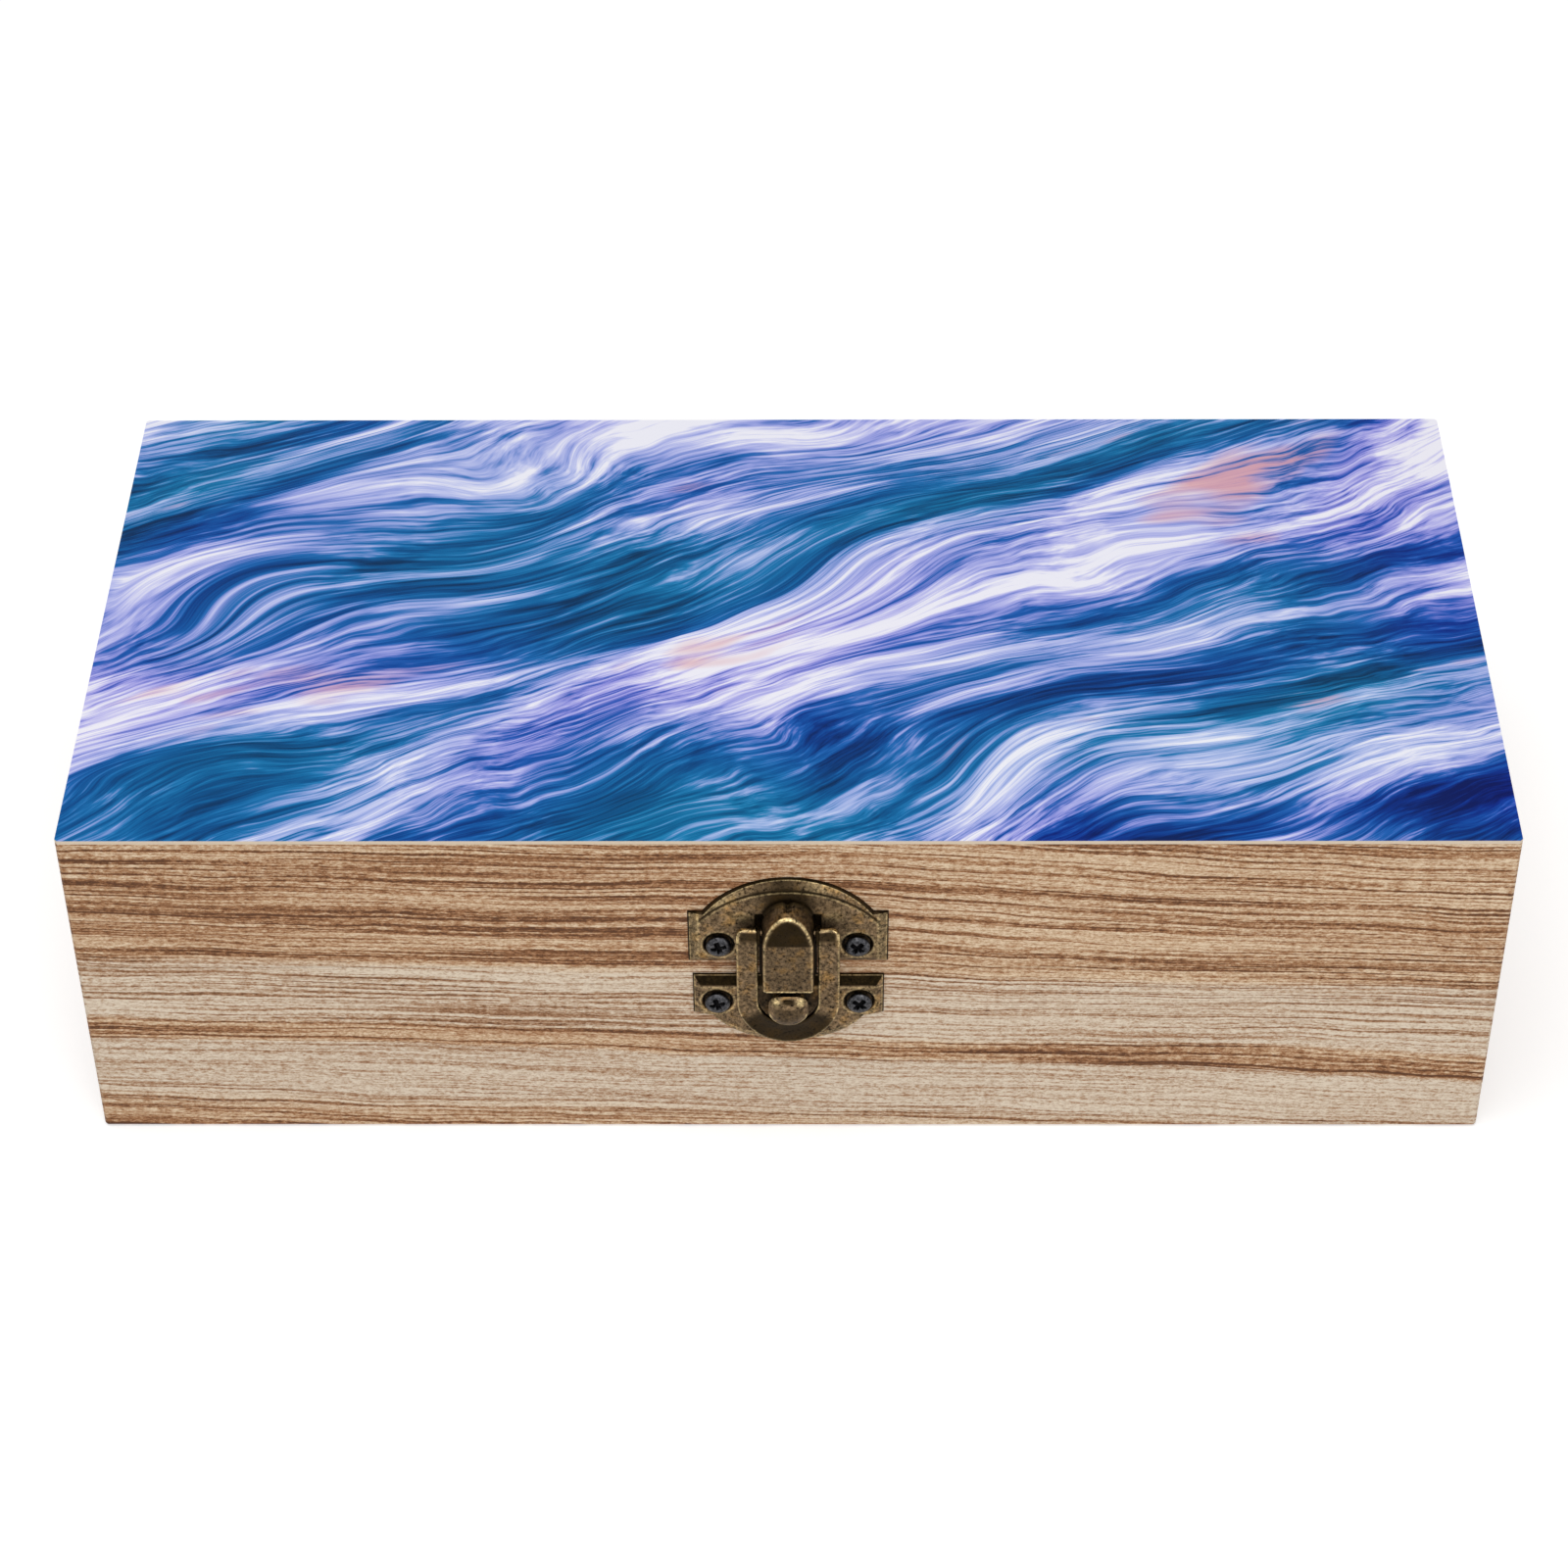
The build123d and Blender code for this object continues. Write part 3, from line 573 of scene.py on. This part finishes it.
def base_plate_detail(x, y, on_straight, on_side, on_crown):
    """The rim along the straight edge, which faces up, is painted dark as shade, as is a ring round the
    catch.
    The arched rim is painted lighter, as a reflection of the table, and its folds get painted highlight
    lines."""
    rim = (1 - ease(on_straight, 0.85, 1.02)) * ease(on_side - on_straight, -0.05, 0.15)
    from_catch = np.hypot(x, y - catch_below)
    black = rim * ease(on_straight, 0.03, 0.12) + 0.7 * bell(from_catch, 2.6, 0.7)
    slope = (1 - ease(on_crown, 0.85, 1.0)) * ease(on_side, 0.9, 1.1)
    shine = 0.22 * slope + 0.35 * bell(on_crown, 1.1, 0.08) + 0.3 * bell(on_straight, 1.12, 0.07)
    return 0 * x, black, shine


# Half width, width of the ears, heights of the straight edge, of the ears and of the crown over the
# seam, and widths of the straight, side and crown rims. The base plate is measured downwards.
lid_plate_size = (13.95, 2.05, 1.75, 11.05, 17.35, 0.9, 1.35, 1.7)
base_plate_size = (13.45, 2.7, 1.05, 8.45, 14.15, 1.8, 1.1, 1.3)
base_dishes = [(x, -y) for x, y in base_screws]
# The rings close on a pole 6 mm from the seam, or 5.2 mm on the base plate
for half, up, size, dishes, pole, detail in (
    ("lid", 1, lid_plate_size, lid_screws, 6.0, lid_plate_detail),
    ("base", -1, base_plate_size, base_dishes, 5.2, base_plate_detail),
):
    pressed_plate(f"{half}_plate_pressing", up, size, dishes, pole, detail, half, f"latch_{half}_plate")


# Hood: drawn out of the lid plate, to 4.8 mm over the wood, in the shape of a half barrel, with a brow
# that leans back to its arched top, a notch where the drawing tore a little, and an open lower end. The
# sheet is 0.6 mm there.

hood_out = 4.8
hood_sheet = 0.6
# Its open end is at this height over the seam, and its wall starts this far out, within the plate
hood_end = -0.3
wall_root = 0.45
# The face: half its width, where its straight sides end, and the top of its arch
face_half, face_spring, face_crown = 3.55, 7.9, 12.85
# The brow starts at this height and leans back by this much in 1 mm
brow_y, brow_lean = 8.45, 0.255
# Inwards is straight to the middle line up to this height, and above it to this height on that line
heart_y = 9.0


def strip(one, other):
    """The four-sided faces between two rows of point numbers."""
    return np.stack([one[:-1], one[1:], other[1:], other[:-1]], -1)


def hood_skin(depth):
    """Columns run up one side, over the top and down the other. The wall is ruled from a half ellipse on
    straight sides, on the plate, to a narrower arch x = face_half * (1 - u ** 1.8) ** 0.5 on the face, u
    being the share of its height. Then come the rounded shoulder and the face, to the middle line. The
    skin lies depth under the outer one."""
    rise = np.linspace(0, np.pi / 2, 200)
    height = np.sin(rise)
    outlines = []
    for half, spring, crown, arch_x in (
        (hood_half, hood_spring, hood_crown, np.cos(rise)),
        (face_half, face_spring, face_crown, np.sqrt(1 - height**1.8)),
    ):
        x = -half * np.append(1, arch_x)
        y = np.append(hood_end, spring + (crown - spring) * height)
        run = np.concatenate([[0], np.cumsum(np.hypot(np.diff(x), np.diff(y)))])
        even = np.linspace(0, run[-1], 150)
        x, y = np.interp(even, run, x), np.interp(even, run, y)
        x, y = np.append(x, -x[-2::-1]), np.append(y, y[-2::-1])
        inward_x, inward_y = -x, np.minimum(y, heart_y) - y
        length = np.hypot(inward_x, inward_y)
        inward_x, inward_y = inward_x / length, inward_y / length
        outlines.append((x + depth * inward_x, y + depth * inward_y, inward_x, inward_y))
    (foot_x, foot_y, to_x, to_y), (top_x, top_y, in_x, in_y) = outlines

    def face_out(y):
        """How far out the face is: level under the brow, and leaning back above it, less brow_lean *
        (b + sqrt(b * b + 0.1)) / 2 for a height b over the brow."""
        beyond = y - brow_y
        return hood_out - depth - brow_lean * (beyond + np.sqrt(beyond**2 + 0.1)) / 2

    # The rounded shoulder has this radius. The wall stands straight to 1 mm out, the field of the plate,
    # and leans in from there.
    bend = max(0.55 - depth, 0.05)
    top = face_out(top_y) - bend
    wall_out = wall_root + (top - wall_root) * np.linspace(0, 1, 26)[:, None] ** 1.5
    share = np.clip((wall_out - 1) / (top - 1), 0, 1)
    # The foot of the outer skin flares by 0.28 mm, but not beside the slots. The notch, 0.5 mm deep and
    # 1.4 mm wide, is in its crown.
    outer = depth == 0
    beside_slot = ease(foot_y, 7.2, 7.5) * (1 - ease(foot_y, 10.9, 11.2))
    flare = 0.28 * (1 - beside_slot) * (1 - ease(wall_out, 1.0, 1.35)) * outer
    notch = np.clip(1 - np.abs(foot_x) / 0.7, 0, 1) * (foot_y > 12)
    torn = 0.5 * notch * (1 - ease(wall_out, 1.9, 2.6)) * outer
    wall_x = foot_x + (top_x - foot_x) * share + (torn - flare) * to_x
    wall_y = foot_y + (top_y - foot_y) * share + (torn - flare) * to_y
    turn = np.linspace(0, np.pi / 2, 12)[1:, None]
    round_x, round_y = top_x + bend * (1 - np.cos(turn)) * in_x, top_y + bend * (1 - np.cos(turn)) * in_y
    to_middle = np.linspace(0, 1, 26)[1:, None]
    face_x = round_x[-1] * (1 - to_middle)
    face_y = round_y[-1] + (np.minimum(round_y[-1], heart_y) - round_y[-1]) * to_middle
    x = np.concatenate([wall_x, round_x, face_x])
    y = np.concatenate([wall_y, round_y, face_y])
    out = np.concatenate([wall_out, face_out(round_y) - bend * (1 - np.sin(turn)), face_out(face_y)])
    return x, y, out


skins = [hood_skin(0), hood_skin(hood_sheet)]
rows, columns = skins[0][0].shape
number = np.arange(2 * rows * columns).reshape(2, rows, columns)
faces = [net(rows, columns), net(rows, columns, first=rows * columns), strip(number[0, 0], number[1, 0])]
faces += [strip(number[0, :, end], number[1, :, end]) for end in (0, -1)]
# The walls are painted dark as shade, most on the straight sides and at their foot, and so are the brow,
# which faces up, and the notch. The shoulder and the lower end of the face get painted highlights. Rows 26
# to 36 are the shoulder.
x, y, out = skins[0]
row = np.arange(rows)[:, None] + 0 * x
on_wall, on_face, on_shoulder = 1 - ease(row, 22, 30), ease(row, 31, 38), bell(row, 31, 2.4)
arched = ease(y, 8.0, 11.0)
black = on_wall * (0.85 - 0.5 * arched) + 0.6 * (1 - ease(out, 1.0, 1.9))
black = black + on_face * (0.3 + 0.58 * ease(y, 8.3, 8.7))
black = black + 0.4 * np.clip(1.2 - np.abs(x) / 0.3, 0, 1) * (y > 12) * (1 - ease(out, 1.3, 1.8))
shine = on_shoulder * (0.35 + 0.35 * arched + 0.7 * ease(y, 12.0, 12.6)) + 0.8 * (y < -0.05) * (row > 28)
marks = {
    "blackened": np.concatenate([black.ravel(), np.ones(x.size)]),
    "wear_and_highlight": np.concatenate([shine.ravel(), np.zeros(x.size)]),
}
points = np.concatenate([on_front(*skin).reshape(-1, 3) for skin in skins])
make_piece("lid_plate_hood", points, faces, antique_bronze, "lid", "latch_lid_plate", marks)


# Catch: a button raised from the base plate on a narrower neck, round below and square above, with a
# dent in its upper edge. The loop drops round the neck.

catch_radius = 2.8
# How far out the neck starts, within the plate, how far out the rim is, and how far the top rises
neck_root, rim_out, top_rise = 0.5, 3.95, 0.8
turn = np.linspace(0, 2 * np.pi, 200, endpoint=False)
# The outline is |x| ** p + |y| ** p = radius ** p, with p 2 below the middle and 4 above it
power = np.where(np.sin(turn) > 0, 4.0, 2.0)
outline = catch_radius / (np.abs(np.cos(turn)) ** power + np.abs(np.sin(turn)) ** power) ** (1 / power)
dome = np.sin(np.linspace(np.pi / 2, 0, 40))
share = np.concatenate([[0, 0.85, 0.85, 0.86, 0.9, 0.97, 0.995], dome])[:, None]
neck = [neck_root, neck_root, 3.6, 3.72, 3.8, 3.8, 3.86]
height = np.concatenate([neck, rim_out + top_rise * (1 - dome**3.2)])[:, None]
x, y = share * outline * np.cos(turn), -catch_below + share * outline * np.sin(turn)
dent = bell(x, 0, 1.15) * bell(y, -2.85, 0.5) * (height > 3.9)
out = height - 0.5 * dent + 0 * x
# The neck under the button, the dent and the lower half of the top are painted dark, as shade
black = 0.1 + 0.9 * (height < 3.75) + 0.75 * ease(dent, 0.25, 0.8)
black = black + 0.4 * (1 - ease(share, 0.6, 0.85)) * (y < -3.9) + 0 * x
# The two lobes beside the dent and the lower rim get painted highlights
lobes = bell(np.abs(x), 1.7, 0.5) * bell(y, -2.75, 0.5)
shine = 0.9 * lobes + 1.2 * ease(share, 0.86, 0.93) * (height > 3.8) * ease(-y, 4.6, 6.0) + 0 * x
make_piece(
    "base_plate_catch",
    on_front(x, y, out),
    [net(*x.shape, closed=True)],
    antique_bronze,
    "base",
    "latch_base_plate",
    {"blackened": black.ravel(), "wear_and_highlight": shine.ravel()},
)


# Hasp loop: a strip of sheet 3 mm wide bent into a U, with a shallow dish pressed along its face, and
# wider at its round end, where it is gripped. Its shoulders lean back to two ears, which turn in through
# the slots and hang on the pin.

# Half the width of the strip, and how far out its face is
strip_half = 1.5
loop_out = 3.7
# The middle line of the strip runs down a leg from loop_top and round a half circle about (0, bow_y)
loop_top, bow_y, bow_radius = 9.85, -3.25, 5.7
# The shoulders lean back above this height, by this much in 1 mm
lean_from, lean_slope = 7.75, 0.333
# The places down a leg are closest together at the top, where the shoulder is rounded
leg = np.concatenate([np.linspace(loop_top, 8.9, 30), np.linspace(8.9, bow_y, 91)[1:]])
bow = np.linspace(np.pi, 2 * np.pi, 131)[1:-1]
beside = np.full(120, bow_radius)
path_x = np.concatenate([-beside, bow_radius * np.cos(bow), beside])[:, None]
path_y = np.concatenate([leg, bow_y + bow_radius * np.sin(bow), leg[::-1]])[:, None]
out_x = np.concatenate([-np.ones(120), np.cos(bow), np.ones(120)])[:, None]
out_y = np.concatenate([np.zeros(120), np.sin(bow), np.zeros(120)])[:, None]
# The section, once round: across is 0 in the middle of the strip and positive on the outer side, and
# form is how far out a place is. The dish is 0.1 mm deep, and the sheet is 0.7 mm thick.
corner = np.linspace(0, np.pi / 2, 9)
flat = np.linspace(-1.15, 1.15, 20)
rounded = 1.2 + 0.3 * np.sin(corner)
fallen = -0.3 * (1 - np.cos(corner))
across = np.concatenate([-rounded[::-1], flat, rounded, [strip_half, 1.4, -1.4, -strip_half]])
form = np.concatenate([fallen[::-1], -0.1 * (1 - (flat / 1.2) ** 2), fallen, [-0.62, -0.7, -0.7, -0.62]])
# The outer corner of each shoulder is rounded with a radius of 0.9 mm, and the top edge is eased
shoulder_round = 0.9
past_corner = np.maximum(path_y - (loop_top - shoulder_round), 0)
cut = shoulder_round - np.sqrt(np.maximum(shoulder_round**2 - past_corner**2, 0))
narrowed = across - cut * np.clip(across / strip_half, 0, 1)
x, y = path_x + out_x * narrowed, path_y + out_y * narrowed
# The round end widens downwards by this much
wider = 0.8
y = y + wider * out_y * (across / (2 * strip_half) + 0.5)
beyond = path_y - lean_from
lean = lean_slope * (beyond + np.sqrt(beyond**2 + 0.05)) / 2
over = np.clip((path_y - 9.6) / 0.25, 0, 1)
on_face = form > -0.5
out = loop_out + form - lean - 0.25 * (1 - np.sqrt(1 - over**2)) * on_face
# The round end and the lean of the shoulders, which face up, are painted dark, as shade with some patina.
# The edges of the strip get painted highlights, but weaker there.
shoulder, round_end = ease(path_y, 7.6, 8.6), ease(-path_y, 4.9, 6.5)
black = 0.1 + 0.73 * round_end + 0.7 * shoulder * (1 - ease(across, 0.7, 1.2)) * (1 - ease(path_y, 9.4, 9.7))
# The inner side of the strip is painted near black, as the shade in the gap beside the hood
black = black + 0.9 * (across < -1.45)
dulled = np.where(across > 0, 0.3, 1.0) * np.maximum(round_end, shoulder)
shine = 0.5 * bell(np.abs(across), 1.38, 0.14) * (1 - dulled)
shine = shine + 0.4 * shoulder * ease(across, 0.9, 1.3) + 0.4 * ease(path_y, 9.6, 9.8)
points, faces = [on_front(x, y, out).reshape(-1, 3)], [net(*x.shape, closed=True)]
faces += [np.arange(end, end + x.shape[1])[None] for end in (0, x.size - x.shape[1])]
marks = {"blackened": [black.ravel()], "wear_and_highlight": [(shine * on_face).ravel()]}
# An ear is a plate 0.65 mm thick: a half disc of 1.05 mm radius round the pin, run out to the strip,
# with a bore of 0.45 mm radius. Its section goes once round: bore, inner face, edge, outer face, bore.
pin_y, pin_out = 8.8, 2.15
ear_radius, bore_radius = 1.05, 0.45
ear_inner, ear_outer = 3.83, 4.48
turn = np.linspace(0, -np.pi, 40)
ear_y = np.append(pin_y + ear_radius * np.cos(turn), [lean_from, loop_top, loop_top])
ear_out = np.append(pin_out + ear_radius * np.sin(turn), [3.6, 2.9, pin_out])
run = np.concatenate([[0], np.cumsum(np.hypot(np.diff(ear_y), np.diff(ear_out)))])
even = np.linspace(0, run[-1], 96, endpoint=False)
ear_y, ear_out = np.interp(even, run, ear_y), np.interp(even, run, ear_out)
toward = np.arctan2(ear_out - pin_out, ear_y - pin_y)
bore_y, bore_out = pin_y + bore_radius * np.cos(toward), pin_out + bore_radius * np.sin(toward)
eased_y, eased_out = pin_y + 0.93 * (ear_y - pin_y), 2.6 + 0.93 * (ear_out - 2.6)
ear_y = np.stack([bore_y, eased_y, ear_y, ear_y, bore_y, bore_y])
ear_out = np.stack([bore_out, eased_out, ear_out, ear_out, bore_out, bore_out])
section_x = np.array([ear_inner, ear_inner, 3.9, ear_outer, ear_outer, ear_inner])[:, None]
for side in (-1, 1):
    x = side * section_x + 0 * ear_y
    first = sum(len(part) for part in points)
    points.append(on_front(x, ear_y, ear_out).reshape(-1, 3))
    faces.append(net(*x.shape, first=first, closed=True))
    # The ears are painted near black, as shade in the slots
    marks["blackened"].append(np.full(x.size, 0.9))
    marks["wear_and_highlight"].append(np.zeros(x.size))
marks = {mark: np.concatenate(values) for mark, values in marks.items()}
points = np.concatenate(points)
make_piece("hasp_loop_strip", points, faces, antique_bronze, "hasp", "hasp_loop", marks)


# Floor, light and camera: a white table, a soft lamp above, a softer one in front, and a white room.
# The table and the room give the camera and the metal plain white, and the object less light than that.


def seen_directly(tree):
    """1 for rays from the camera, from a mirror or through glass, and 0 for the rest."""
    path = add(tree, "LightPath")
    seen = path.outputs["Is Camera Ray"]
    for ray in ("Is Glossy Ray", "Is Transmission Ray"):
        seen = add(tree, "Math", {"operation": "MAXIMUM"}, {0: seen, 1: path.outputs[ray]})
    return seen


floor_mesh = bpy.data.meshes.new("floor")
floor_mesh.from_pydata([(-6, -6, 0), (6, -6, 0), (6, 6, 0), (-6, 6, 0)], [], [(0, 1, 2, 3)])
floor = bpy.data.objects.new("floor", floor_mesh)
bpy.context.scene.collection.objects.link(floor)
white_table, tree = new_material("white_table")
table_glow = 0.42
glow = add(tree, "Math", {"operation": "MULTIPLY", 1: table_glow}, {0: seen_directly(tree)})
lift = add(tree, "Emission", {"Color": ink("#FFFFFF")}, {"Strength": glow})
matt = add(tree, "BsdfDiffuse", {"Color": ink("#E7E7E7")})
both = add(tree, "AddShader", None, {0: matt, 1: lift})
add(tree, "OutputMaterial", None, {"Surface": both})
floor_mesh.materials.append(white_table)

world = bpy.data.worlds.new("white_room")
bpy.context.scene.world = world
world.use_nodes = True
tree = world.node_tree
tree.nodes.clear()
room_light, room_white = 0.42, 1.0
level = add(tree, "MapRange", {"To Min": room_light, "To Max": room_white}, {"Value": seen_directly(tree)})
sky = add(tree, "Background", {"Color": ink("#FFFFFF")}, {"Strength": level})
add(tree, "OutputWorld", None, {"Surface": sky})

# Each lamp has a place, a width in metres and a power in watts
middle_of_box = (0, 0, 0.03)
for name, place, size, power in (
    ("lamp_above", (-0.15, -0.25, 1.15), 0.9, 6.0),
    ("lamp_front", (0.25, -1.2, 0.55), 0.8, 5.3),
):
    data = bpy.data.lights.new(name, "AREA")
    data.energy = power
    data.size = size
    lamp = bpy.data.objects.new(name, data)
    bpy.context.scene.collection.objects.link(lamp)
    # A lamp shines along its own -Z, so its Z points away from the box
    away = np.array(place) - np.array(middle_of_box)
    away /= np.linalg.norm(away)
    side = np.cross((0, 0, 1), away)
    side /= np.linalg.norm(side)
    axes = np.array([side, np.cross(away, side), away]).T
    lamp.matrix_world = Matrix([(*row, p) for row, p in zip(axes, place)] + [(0, 0, 0, 1)])

# The camera stands where the six visible corners of the case fall on those of the photograph
lens_px, frame_px, sensor_mm = 3870.1, 1600, 36.0
pitch, yaw, roll = math.radians(41.733), math.radians(0.656), math.radians(-0.465)
view = bpy.data.cameras.new("camera")
view.sensor_width = sensor_mm
view.lens = sensor_mm * lens_px / frame_px
view.clip_start = 0.01
camera = bpy.data.objects.new("camera", view)
bpy.context.scene.collection.objects.link(camera)
camera.matrix_world = (
    Matrix.Translation((0.00395, -0.42814, 0.40579))
    @ Matrix.Rotation(yaw, 4, "Z")
    @ Matrix.Rotation(math.pi / 2 - pitch, 4, "X")
    @ Matrix.Rotation(roll, 4, "Z")
)
bpy.context.scene.camera = camera
bpy.context.scene.view_settings.view_transform = "Standard"
